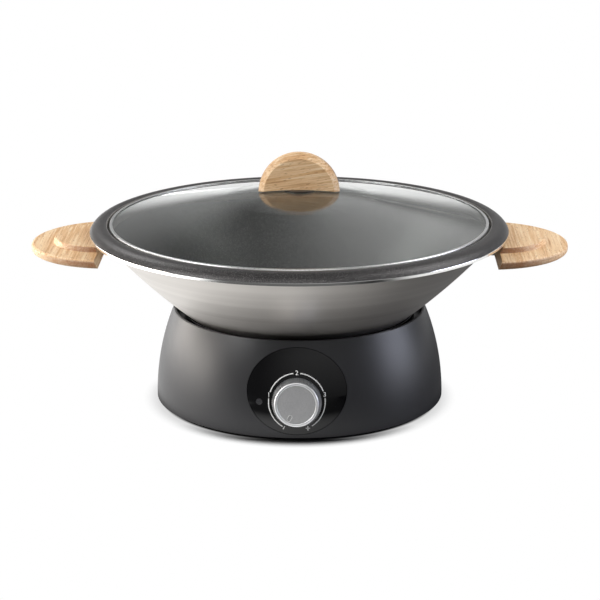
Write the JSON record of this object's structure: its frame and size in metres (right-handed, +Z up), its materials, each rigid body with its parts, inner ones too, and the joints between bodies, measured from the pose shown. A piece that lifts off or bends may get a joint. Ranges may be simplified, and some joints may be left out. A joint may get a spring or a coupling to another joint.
{
  "type": "electric wok",
  "caption": "Electric wok: a round heated base with a dial, a lift-off cast bowl with wooden side handles, and a domed glass lid with a wooden knob.",
  "frame": {"origin": "on the table, at the middle of the circle of feet, under the axis of the bowl", "axes": "+Z up; -Y is the front, with the dial; +X runs through the right-hand handle, seen from the front"},
  "size_m": [0.4626, 0.36, 0.2174],
  "materials": {
    "housing_black": "satin moulded, fine grain",
    "base_black": "matt moulded",
    "black_rubber": "matt",
    "zinc_steel": "zinc plated",
    "gloss_black": "polished, white dial print",
    "smoked_lens": "smoked, polished",
    "lamp_glass": "clear neon tube",
    "switch_case": "matt phenolic",
    "knob_silver": "silver lacquer over moulded ribs",
    "bright_chrome": "polished",
    "knob_satin": "fine satin",
    "pressed_steel": "pressed, aluminised",
    "ring_steel": "rolled, bright",
    "element_sheath": "heat-darkened sheath",
    "white_ceramic": "matt fired",
    "fuse_can": "drawn can",
    "cast_aluminium": "satin outside, black grained non-stick inside and on the flange",
    "beech": "sanded and oiled",
    "tempered_glass": "polished",
    "rim_steel": "polished",
    "clear_silicone": "soft, matt",
    "insert_brass": "turned"
  },
  "bodies": {
    "base": {"base_housing": "housing_black", "base_plate": "base_black", "rubber_feet": "black_rubber", "base_plate_screws": "zinc_steel", "cord_gland": "base_black", "gland_nut": "base_black", "control_panel": "gloss_black", "indicator_lens": "smoked_lens", "indicator_lamp": "lamp_glass", "thermostat_body": "switch_case", "thermostat_nut": "zinc_steel", "heat_reflector": "pressed_steel", "support_ring": "ring_steel", "ring_screws": "zinc_steel", "heating_element": "element_sheath", "element_terminals": "zinc_steel", "element_bushings": "white_ceramic", "element_supports": "pressed_steel", "thermal_fuse": "fuse_can", "fuse_clip": "pressed_steel", "terminal_block": "white_ceramic", "terminal_block_screw": "zinc_steel"},
    "knob": {"control_knob": "knob_silver", "knob_trim_ring": "bright_chrome", "knob_face": "knob_satin", "thermostat_shaft": "zinc_steel"},
    "wok": {"wok_bowl": "cast_aluminium", "left_handle": "beech", "right_handle": "beech", "handle_screws": "zinc_steel"},
    "lid": {"lid_glass": "tempered_glass", "lid_rim": "rim_steel", "lid_knob": "beech", "lid_knob_pad": "clear_silicone", "lid_knob_insert": "insert_brass", "lid_inner_washer": "rim_steel", "lid_knob_screw": "rim_steel"}
  },
  "joints": [
    {"name": "wok_lift", "type": "slide", "parent": "base", "child": "wok", "axis": [0, 0, 1], "range_m": [0, 0.15]},
    {"name": "lid_lift", "type": "slide", "parent": "wok", "child": "lid", "axis": [0, 0, 1], "range_m": [0, 0.15]},
    {"name": "knob_turn", "type": "hinge", "parent": "base", "child": "knob", "pos_m": [0, -0.12293, 0.03427], "axis": [0, 0.9813, -0.1926], "range_deg": [0, 307]}
  ]
}
